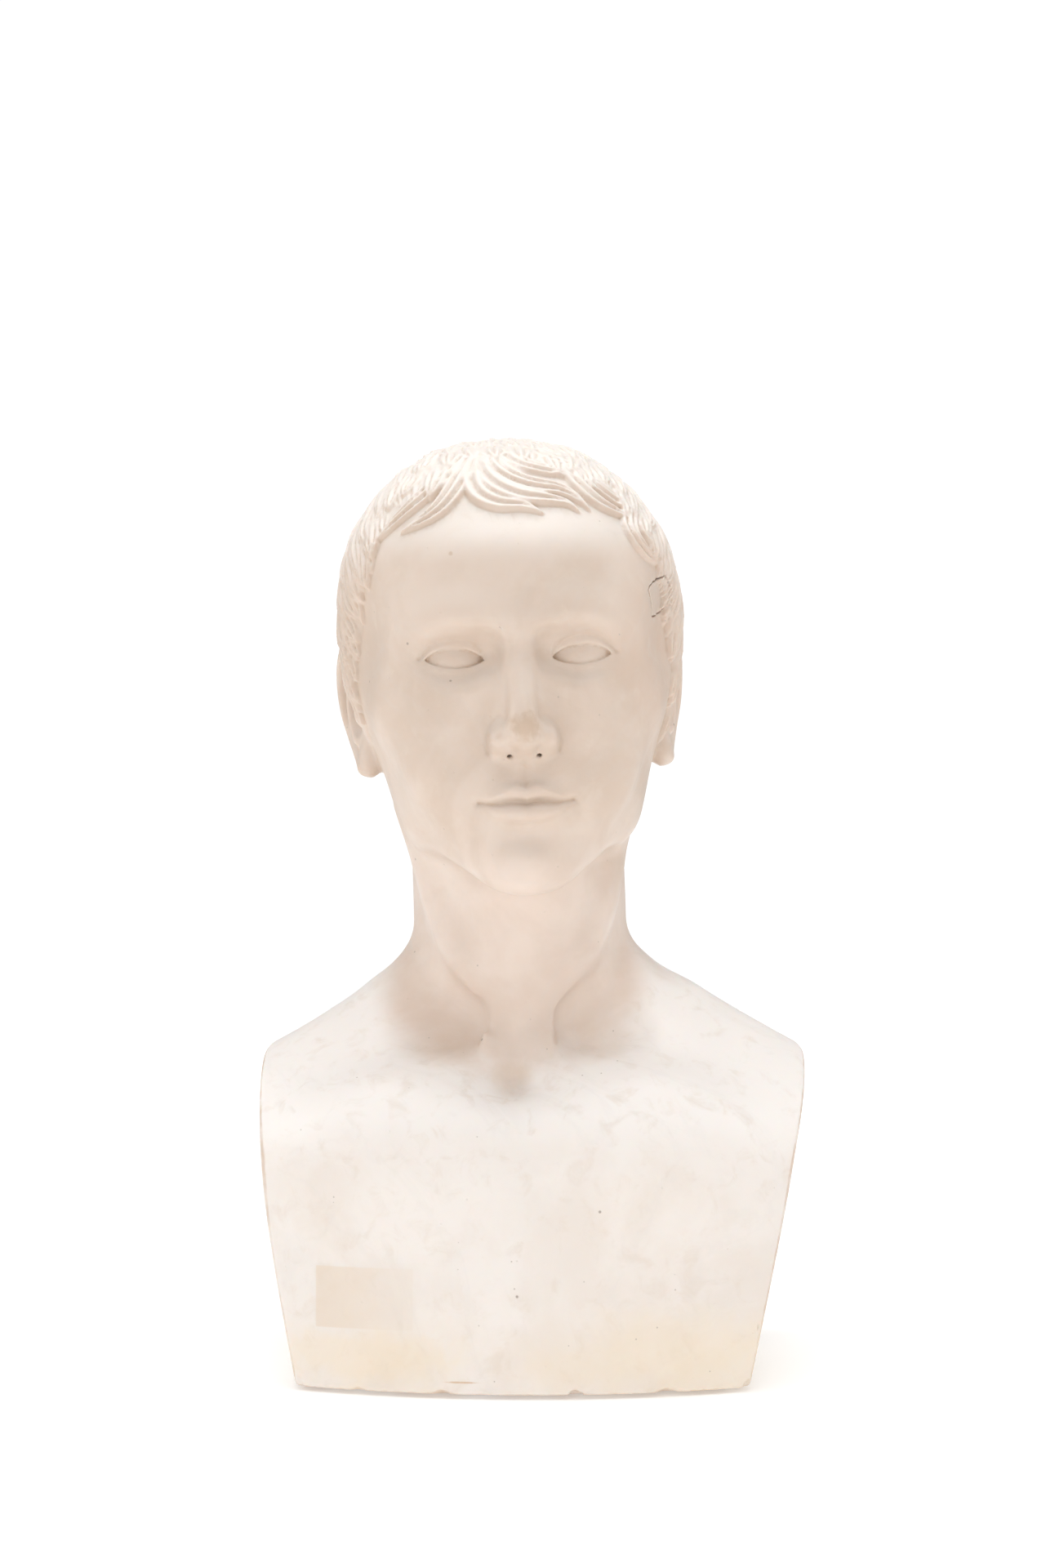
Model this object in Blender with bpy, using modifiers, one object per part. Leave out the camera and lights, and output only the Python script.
"""A classical marble bust: head and neck on a chest cut off square, as a herm.

The bust is one carved block, so the assembly is short: the carved block, a chip of hair that broke
off at the temple and was set back in its seat, a steel socket for a mounting dowel, bedded in mortar
in a hole drilled up from below, and four felt pads that it stands on.

Metres. +Z is up, the face looks along -Y, and the origin is on the ground under the middle of the
bust's bounding box.
"""

import math

import bmesh
import bpy
from mathutils import Matrix, Vector

# Driving dimensions.
HEIGHT = 0.500  # pads' undersides to the top of the hair
SHOULDER_WIDTH = 0.287  # the widest part, across the two shoulder cuts
SHOULDER_Z = 0.173  # the shoulder corners' height
NECK_FOOT_Z = 0.232  # where the shoulder slopes meet the neck
BLOCK_BACK = 0.098  # the flat back's place on Y
BACK_TOP = 0.190  # how high the back is cut flat
CHEST_FRONT = -0.101  # the chest's foremost line, at the foot
FRONT_SAG = 0.024  # how far the front curves back towards its corners
BASE_LEFT = -0.122  # the foot's corners, which aren't quite centred
BASE_RIGHT = 0.111
SIDE_BULGE = 0.006  # how far the cut sides swell beyond a straight line

HEAD_CENTRE = Vector((-0.0106, -0.0010, 0.378))  # mid head, at eye level
HEAD_ROLL = math.radians(-2.3)  # the crown leans a little to -X
HEAD_YAW = math.radians(2.5)  # and the face turns a little to +X
NECK_X = -0.006
NECK_HALF = 0.056  # half the neck's width where the shoulder slopes meet it

PAD_RADIUS = 0.015
PAD_THICKNESS = 0.0017
PAD_INSET_X = 0.083
PAD_FRONT_Y = -0.058
PAD_BACK_Y = 0.070
FOOT_Z = 0.002  # the marble's flat underside

SOCKET_DEPTH = 0.080
SOCKET_BORE_RADIUS = 0.0083  # takes a 16 mm dowel
SOCKET_RADIUS = 0.0100
DRILLED_RADIUS = 0.0132
DRILLED_DEPTH = 0.086
FIT_GAP = 0.0003  # between pieces that touch

CHIP_Z = 0.411
CHIP_Y = -0.041
CHIP_DEPTH = 0.006  # how deep the chip's seat is cut below the hair
TEMPLE_X = 0.0768  # the hair's surface there, out from the middle of the head
CHIP_TURN = math.radians(-25)  # the flake faces forwards as the temple does

FRONT_FACETS = 7  # each side of the middle, before smoothing
VOXEL = 0.0042
BODY_TRIANGLES = 5600
ROUND_STEPS = 32
OVERSIZE = 0.06  # how far a cutter runs past what it cuts
TRIM = 0.020  # how far the rough block runs past its flat underside and back
FOOT_TAPER = TRIM / 6  # how much the sides draw in over that depth
ROUGH_WIDTH = 1.25 * SHOULDER_WIDTH  # the rough block's, before its sides are cut
MORTAR_RECESS = 0.003  # the mortar stops short of the foot


def clear_scene():
    for obj in list(bpy.data.objects):
        bpy.data.objects.remove(obj)


def new_collection(name):
    made = bpy.data.collections.new(name)
    bpy.context.scene.collection.children.link(made)
    return made


def material(name, colour, roughness, metallic=0.0):
    made = bpy.data.materials.new(name)
    made.use_nodes = True
    shader = made.node_tree.nodes["Principled BSDF"]
    shader.inputs["Base Color"].default_value = (*colour, 1.0)
    shader.inputs["Roughness"].default_value = roughness
    shader.inputs["Metallic"].default_value = metallic
    return made


def add_object(name, data, collection, finish=None):
    obj = bpy.data.objects.new(name, data)
    collection.objects.link(obj)
    if finish:
        data.materials.append(finish)
    return obj


def evaluated_mesh(obj):
    """The object's mesh with its modifiers applied, in world space, with loose caps welded."""
    bpy.context.view_layer.update()
    graph = bpy.context.evaluated_depsgraph_get()
    mesh = bpy.data.meshes.new_from_object(obj.evaluated_get(graph))
    mesh.transform(obj.matrix_world)
    shape = bmesh.new()
    shape.from_mesh(mesh)
    bmesh.ops.remove_doubles(shape, verts=shape.verts, dist=1e-6)
    shape.to_mesh(mesh)
    shape.free()
    return mesh


def as_cutter(obj):
    obj.hide_render = True
    obj.display_type = "WIRE"
    return obj


def boolean(obj, operation, other):
    cut = obj.modifiers.new(operation.title() + "_" + other.name, "BOOLEAN")
    cut.operation = operation
    cut.solver = "EXACT"
    cut.object = other


def extruded(name, points, thickness, collection):
    """A flat outline in its object's own XY plane, made solid, half its thickness to each side."""
    curve = bpy.data.curves.new(name, "CURVE")
    curve.dimensions = "2D"
    curve.fill_mode = "BOTH"
    curve.extrude = thickness / 2
    line = curve.splines.new("POLY")
    line.points.add(len(points) - 1)
    for point, (x, y) in zip(line.points, points):
        point.co = (x, y, 0.0, 1.0)
    line.use_cyclic_u = True
    return add_object(name, curve, collection)


def solid_outline(name, points, thickness, turn, collection):
    """The extruded outline as a mesh in world space, turned so that its plane faces the right way."""
    flat = extruded(name + "_curve", points, thickness, collection)
    flat.matrix_world = turn
    solid = add_object(name, evaluated_mesh(flat), collection)
    bpy.data.objects.remove(flat)
    return as_cutter(solid)


def bowed(start, end, bulge, steps=8):
    """Points from start towards end, without the end, on a shallow arc that swells to the left."""
    start, end = Vector(start), Vector(end)
    along = end - start
    left = Vector((-along.y, along.x)).normalized()
    points = []
    for i in range(steps):
        t = i / steps
        points.append(start + along * t + left * (4 * bulge * t * (1 - t)))
    return points


def front_outline():
    """The herm seen from the front: X across and Z up, counter-clockwise from under the left foot."""
    half = SHOULDER_WIDTH / 2
    left_foot = (BASE_LEFT, 0.0)
    right_foot = (BASE_RIGHT, 0.0)
    return [
        Vector((BASE_LEFT + FOOT_TAPER, -TRIM)),
        Vector((BASE_RIGHT - FOOT_TAPER, -TRIM)),
        *bowed(right_foot, (half, SHOULDER_Z), -SIDE_BULGE),
        Vector((half, SHOULDER_Z)),
        Vector((NECK_X + NECK_HALF, NECK_FOOT_Z)),
        Vector((NECK_X - NECK_HALF, NECK_FOOT_Z)),
        *bowed((-half, SHOULDER_Z), left_foot, -SIDE_BULGE),
        Vector(left_foot),
    ]


def flowing(points, steps=5):
    """A Catmull-Rom curve through the points, without the last of them."""
    knots = [Vector(point) for point in (points[0], *points, points[-1])]
    line = []
    for before, start, end, after in zip(knots, knots[1:], knots[2:], knots[3:]):
        for i in range(steps):
            t = i / steps
            line.append(
                0.5
                * (
                    2 * start
                    + (end - before) * t
                    + (2 * before - 5 * start + 4 * end - after) * t**2
                    + (3 * start - before - 3 * end + after) * t**3
                )
            )
    return line


def side_outline():
    """The herm's middle from the side, Y across and Z up: the chest slopes back to the neck."""
    back = BLOCK_BACK + TRIM
    under_foot = (CHEST_FRONT + 0.004, -TRIM)
    chest = [(-0.002, 0.236), (-0.034, 0.200), (-0.060, 0.155), (-0.088, 0.112), (CHEST_FRONT, 0.060)]
    return [
        Vector(under_foot),
        Vector((back, -TRIM)),
        Vector((back, 0.165)),
        *flowing([(0.094, 0.205), (0.066, 0.232), (0.030, 0.240), *chest, under_foot]),
    ]


def bow_front(mesh):
    """Moves the front back towards its two ends, in a parabola across X; the back stays flat."""
    shape = bmesh.new()
    shape.from_mesh(mesh)
    half = SHOULDER_WIDTH / 2
    for i in range(1 - FRONT_FACETS, FRONT_FACETS):
        everything = shape.verts[:] + shape.edges[:] + shape.faces[:]
        across = (ROUGH_WIDTH / 2 * i / FRONT_FACETS, 0, 0)
        bmesh.ops.bisect_plane(shape, geom=everything, plane_co=across, plane_no=(1, 0, 0))
    for vertex in shape.verts:
        share = min(1.0, max(0.0, (BLOCK_BACK - vertex.co.y) / (BLOCK_BACK - CHEST_FRONT)))
        vertex.co.y += share * FRONT_SAG * (vertex.co.x / half) ** 2
    shape.to_mesh(mesh)
    shape.free()


def herm_block(cutters):
    """The chest: its bowed side outline, cut to its outline from the front."""
    upright = Matrix.Rotation(math.radians(90), 4, "X")
    sideways = Matrix.Rotation(math.radians(90), 4, "Z") @ upright
    from_front = solid_outline("from_front", front_outline(), HEIGHT, upright, cutters)
    from_side = solid_outline("from_side", side_outline(), ROUGH_WIDTH, sideways, cutters)
    bow_front(from_side.data)
    boolean(from_front, "INTERSECT", from_side)
    return from_front


def head_frame():
    """Turns head coordinates, with the origin between the eyes' level and mid head, into the row's."""
    roll = Matrix.Rotation(HEAD_ROLL, 4, "Y")
    yaw = Matrix.Rotation(HEAD_YAW, 4, "Z")
    return Matrix.Translation(HEAD_CENTRE) @ roll @ yaw


def ellipsoid(shape, frame, centre, radii, pitch=0.0, segments=40, rings=26):
    """Adds an ellipsoid at centre, with its front tipped down by pitch degrees."""
    place = (
        frame
        @ Matrix.Translation(centre)
        @ Matrix.Rotation(math.radians(pitch), 4, "X")
        @ Matrix.Diagonal((*radii, 1.0))
    )
    bmesh.ops.create_uvsphere(shape, u_segments=segments, v_segments=rings, radius=1.0, matrix=place)


def add_head(shape):
    """Skull, face, jaw, brow, nose, lips and ears, as overlapping ellipsoids in the head's frame."""
    frame = head_frame()
    hair_top = HEIGHT - HEAD_CENTRE.z
    skull_height = 0.086
    ellipsoid(shape, frame, (0, 0.0140, hair_top - skull_height), (0.0905, 0.1020, skull_height))
    ellipsoid(shape, frame, (0, 0.0310, 0.0020), (0.0870, 0.0850, 0.0680))  # back of the skull
    ellipsoid(shape, frame, (0, -0.0110, 0.0080), (0.0820, 0.0780, 0.0760))  # forehead and temples
    ellipsoid(shape, frame, (0, -0.0180, -0.0300), (0.0745, 0.0690, 0.0720))  # face
    ellipsoid(shape, frame, (0, -0.0220, -0.0600), (0.0620, 0.0620, 0.0580))  # jaw
    ellipsoid(shape, frame, (0, -0.0450, -0.0880), (0.0380, 0.0450, 0.0330))  # chin
    ellipsoid(shape, frame, (0, -0.0630, -0.0680), (0.0310, 0.0280, 0.0240))  # mouth
    ellipsoid(shape, frame, (0, -0.0960, -0.0430), (0.0140, 0.0190, 0.0120))  # nose tip
    ellipsoid(shape, frame, (0, -0.0870, -0.0180), (0.0110, 0.0140, 0.0360), pitch=-20)  # bridge
    for side in (-1, 1):
        ellipsoid(shape, frame, (side * 0.037, -0.0450, -0.0270), (0.0330, 0.0380, 0.0330))  # cheek
        ellipsoid(shape, frame, (side * 0.028, -0.0640, 0.0200), (0.0360, 0.0260, 0.0130))  # brow
        ellipsoid(shape, frame, (side * 0.0120, -0.0900, -0.0450), (0.0090, 0.0140, 0.0095))  # nostril
        ear = (side * 0.0800, 0.0180, -0.0240)
        ellipsoid(shape, frame, ear, (0.0110, 0.0190, 0.0340), pitch=-12)


def add_neck(shape):
    """A column that leans forward, from well inside the chest up into the skull."""
    foot = Vector((NECK_X, 0.030, 0.150))
    top = Vector((HEAD_CENTRE.x, 0.012, 0.360))
    along = top - foot
    turn = along.to_track_quat("Z", "Y").to_matrix().to_4x4()
    place = Matrix.Translation((foot + top) / 2) @ turn @ Matrix.Diagonal((0.95, 1.06, 1.0, 1.0))
    bmesh.ops.create_cone(
        shape,
        cap_ends=True,
        segments=ROUND_STEPS,
        radius1=0.0640,
        radius2=0.0610,
        depth=along.length,
        matrix=place,
    )


def carved_block(cutters):
    """Head, neck and chest fused into one skin, then cut flat underneath and behind."""
    block = herm_block(cutters)
    masses = evaluated_mesh(block)
    bpy.data.objects.remove(block)
    shape = bmesh.new()
    shape.from_mesh(masses)
    add_head(shape)
    add_neck(shape)
    shape.to_mesh(masses)
    shape.free()
    carving = as_cutter(add_object("carving", masses, cutters))

    skin = carving.modifiers.new("Skin", "REMESH")
    skin.mode = "VOXEL"
    skin.voxel_size = VOXEL
    soften = carving.modifiers.new("Soften", "SMOOTH")
    soften.factor = 0.5
    soften.iterations = 9
    thin = carving.modifiers.new("Thin", "DECIMATE")
    thin.ratio = BODY_TRIANGLES / (2 * count_quads(carving))

    span = SHOULDER_WIDTH + 2 * OVERSIZE
    below = box_cutter("below_foot", (0, 0, FOOT_Z - span / 2), (span, span, span), cutters)
    behind = box_cutter("behind_back", (0, BLOCK_BACK + span / 2, 0), (span, span, 2 * BACK_TOP), cutters)
    boolean(carving, "DIFFERENCE", below)
    boolean(carving, "DIFFERENCE", behind)
    return carving


def count_quads(obj):
    """How many faces the skin has before it is thinned."""
    thin = obj.modifiers["Thin"]
    thin.show_viewport = False
    bpy.context.view_layer.update()
    faces = len(obj.evaluated_get(bpy.context.evaluated_depsgraph_get()).data.polygons)
    thin.show_viewport = True
    return faces


def box_cutter(name, centre, size, cutters):
    mesh = bpy.data.meshes.new(name)
    shape = bmesh.new()
    place = Matrix.Translation(centre) @ Matrix.Diagonal((*size, 1.0))
    bmesh.ops.create_cube(shape, size=1.0, matrix=place)
    shape.to_mesh(mesh)
    shape.free()
    return as_cutter(add_object(name, mesh, cutters))


def cylinder(name, centre, radius, depth, collection, finish=None):
    mesh = bpy.data.meshes.new(name)
    shape = bmesh.new()
    bmesh.ops.create_cone(
        shape,
        cap_ends=True,
        segments=ROUND_STEPS,
        radius1=radius,
        radius2=radius,
        depth=depth,
        matrix=Matrix.Translation((0, 0, depth / 2)),
    )
    shape.to_mesh(mesh)
    shape.free()
    obj = add_object(name, mesh, collection, finish)
    obj.location = centre
    return obj


def turned(name, profile, collection, finish):
    """A closed profile of (radius, height) points, turned about Z. It runs down its outer side."""
    mesh = bpy.data.meshes.new(name)
    edges = [(i, (i + 1) % len(profile)) for i in range(len(profile))]
    mesh.from_pydata([(r, 0.0, z) for r, z in profile], edges, [])
    obj = add_object(name, mesh, collection, finish)
    turn = obj.modifiers.new("Turn", "SCREW")
    turn.steps = ROUND_STEPS
    turn.render_steps = ROUND_STEPS
    turn.use_merge_vertices = True
    turn.merge_threshold = 0.0001
    turn.use_smooth_shade = True
    return obj


def chip_outline(grow=0.0):
    """The chip seen from the side of the head, Y across and Z up: a broken five-sided flake."""
    corners = [(-0.015, 0.002), (-0.006, -0.011), (0.010, -0.009), (0.014, 0.004), (0.001, 0.012)]
    return [Vector(c) + Vector(c).normalized() * grow for c in corners]


def chip_prism(name, grow, cutters):
    """The flake's outline run outwards through the hair, from the bottom of its seat."""
    sideways = Matrix.Rotation(math.radians(90), 4, "Z") @ Matrix.Rotation(math.radians(90), 4, "X")
    seat = Matrix.Translation((HEAD_CENTRE.x + TEMPLE_X - CHIP_DEPTH, CHIP_Y, CHIP_Z))
    turn = Matrix.Rotation(CHIP_TURN, 4, "Z")
    outwards = Matrix.Translation((OVERSIZE / 2 - grow, 0, 0))
    return solid_outline(name, chip_outline(grow), OVERSIZE, seat @ turn @ outwards @ sideways, cutters)


def build():
    clear_scene()
    bust = new_collection("marble_bust")
    cutters = new_collection("cutters")
    marble = material("marble", (0.80, 0.73, 0.65), 0.42)
    steel = material("steel", (0.44, 0.43, 0.42), 0.35, metallic=1.0)
    mortar = material("mortar", (0.55, 0.52, 0.47), 0.90)
    felt = material("felt", (0.16, 0.13, 0.10), 0.95)

    carving = carved_block(cutters)
    whole = evaluated_mesh(carving)

    body = add_object("marble_body", whole, bust, marble)
    drilled = as_cutter(cylinder("drilled", (0, 0, 0), DRILLED_RADIUS, DRILLED_DEPTH + FOOT_Z, cutters))
    boolean(body, "DIFFERENCE", drilled)
    boolean(body, "DIFFERENCE", chip_prism("chip_seat", FIT_GAP, cutters))

    chip = add_object("temple_chip", whole.copy(), bust)
    boolean(chip, "INTERSECT", chip_prism("chip_shape", 0.0, cutters))

    top = FOOT_Z + SOCKET_DEPTH
    inner, outer = SOCKET_BORE_RADIUS, SOCKET_RADIUS
    turned("dowel_socket", [(outer, top), (outer, FOOT_Z), (inner, FOOT_Z), (inner, top)], bust, steel)

    mortar_foot = FOOT_Z + MORTAR_RECESS
    inner, outer = SOCKET_RADIUS + FIT_GAP, DRILLED_RADIUS - FIT_GAP
    profile = [(outer, top), (outer, mortar_foot), (inner, mortar_foot), (inner, top)]
    turned("mortar_bed", profile, bust, mortar)

    middle = (BASE_LEFT + BASE_RIGHT) / 2
    for end, y in (("front", PAD_FRONT_Y), ("back", PAD_BACK_Y)):
        for side, x in (("left", middle - PAD_INSET_X), ("right", middle + PAD_INSET_X)):
            cylinder(f"felt_pad_{end}_{side}", (x, y, 0), PAD_RADIUS, PAD_THICKNESS, bust, felt)

    bpy.data.objects.remove(carving)


build()
